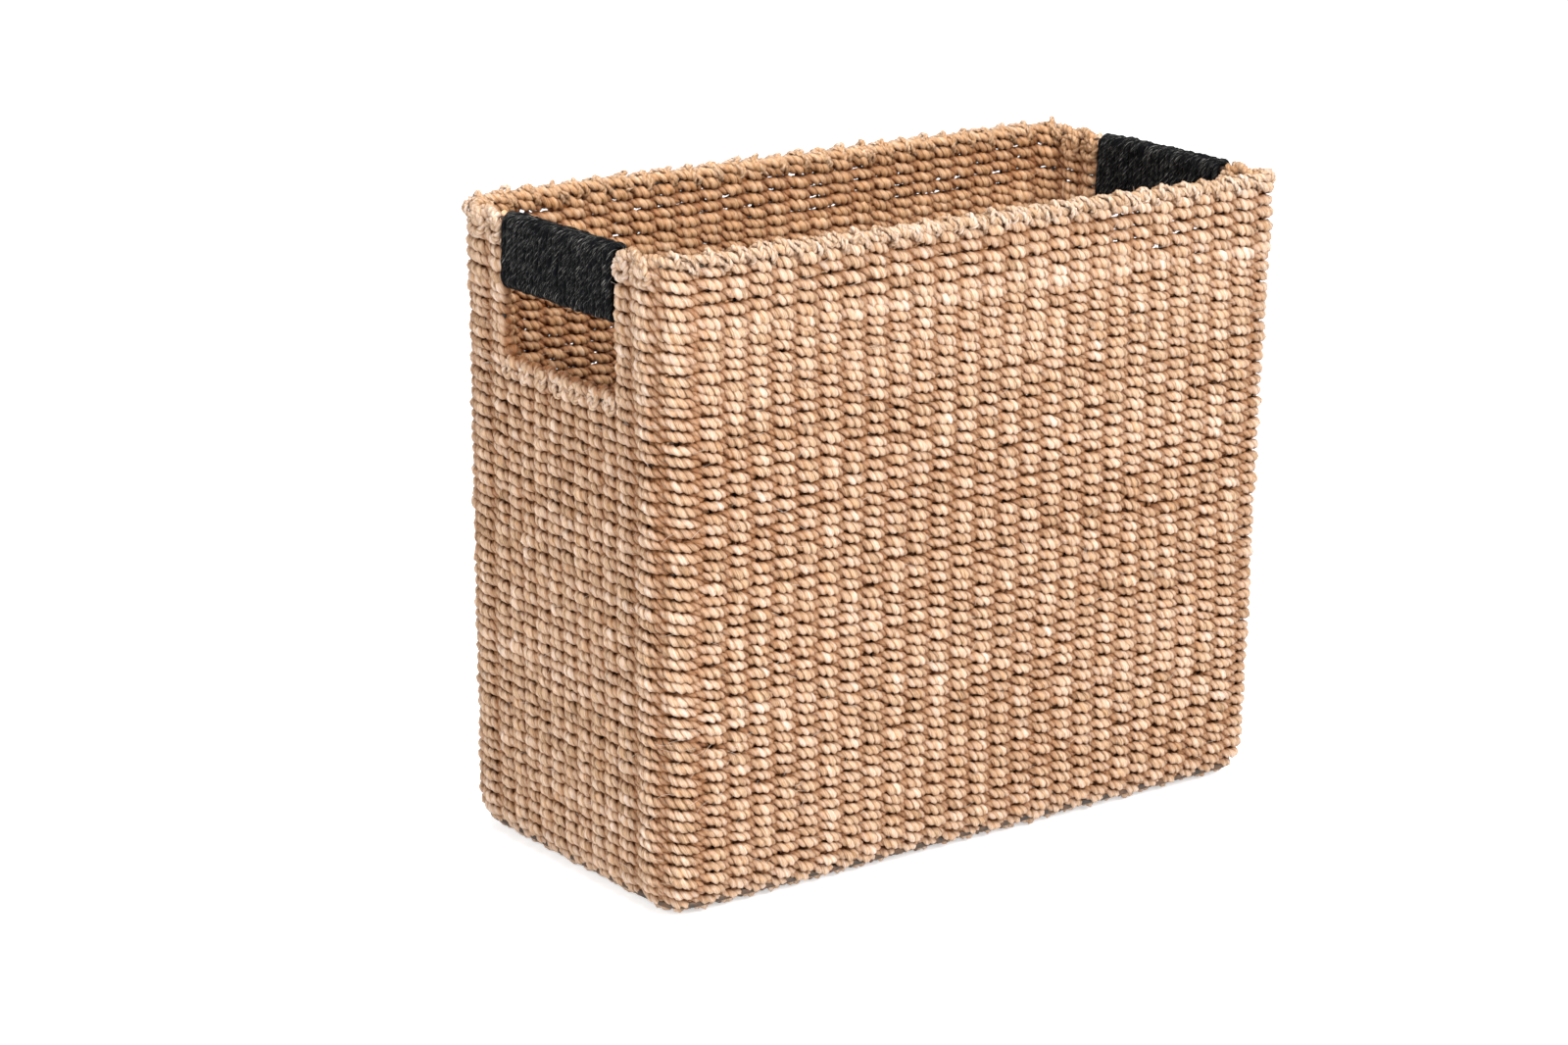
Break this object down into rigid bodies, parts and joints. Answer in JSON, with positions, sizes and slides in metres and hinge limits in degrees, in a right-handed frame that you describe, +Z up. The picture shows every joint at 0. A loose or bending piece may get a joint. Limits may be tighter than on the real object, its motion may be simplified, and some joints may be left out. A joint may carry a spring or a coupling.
{
  "type": "seagrass storage basket",
  "caption": "Rectangular open-top storage basket of twined seagrass over a wire frame, with a hand hole under a black cord-wound band in each end.",
  "frame": {"origin": "centre of the basket's foot, on the surface that it stands on", "axes": "+X along the length, from the left hand hole to the right one, +Y towards the back long wall, +Z up"},
  "size_m": [0.396, 0.186, 0.33],
  "materials": {
    "seagrass_weave": "dry twisted grass cord, matt",
    "seagrass_stake": "dry twisted grass cord, matt",
    "seagrass_binding": "pale folded grass ends, matt and frayed",
    "black_cord": "dyed twisted cord, matt with a few pale fibres",
    "frame_wire": "dark lacquered iron wire"
  },
  "bodies": {
    "root": {"rim_hoop": "frame_wire", "base_hoop": "frame_wire", "front_left_post": "frame_wire", "front_right_post": "frame_wire", "back_left_post": "frame_wire", "back_right_post": "frame_wire", "left_hole_wire": "frame_wire", "right_hole_wire": "frame_wire", "left_handle_rail": "frame_wire", "right_handle_rail": "frame_wire", "front_stakes": "seagrass_stake", "back_stakes": "seagrass_stake", "left_end_stakes": "seagrass_stake", "right_end_stakes": "seagrass_stake", "corner_stakes": "seagrass_stake", "base_stakes": "seagrass_stake", "front_rim_binding": "seagrass_binding", "back_rim_binding": "seagrass_binding", "left_sill_binding": "seagrass_binding", "right_sill_binding": "seagrass_binding", "base_weave": "seagrass_weave", "front_weave": "seagrass_weave", "back_weave": "seagrass_weave", "left_end_weave": "seagrass_weave", "right_end_weave": "seagrass_weave", "left_front_jamb_weave": "seagrass_weave", "left_back_jamb_weave": "seagrass_weave", "right_front_jamb_weave": "seagrass_weave", "right_back_jamb_weave": "seagrass_weave", "front_left_corner_weave": "seagrass_weave", "front_right_corner_weave": "seagrass_weave", "back_left_corner_weave": "seagrass_weave", "back_right_corner_weave": "seagrass_weave", "left_handle_core": "seagrass_stake", "right_handle_core": "seagrass_stake", "left_handle_wrap": "black_cord", "right_handle_wrap": "black_cord"}
  },
  "joints": []
}
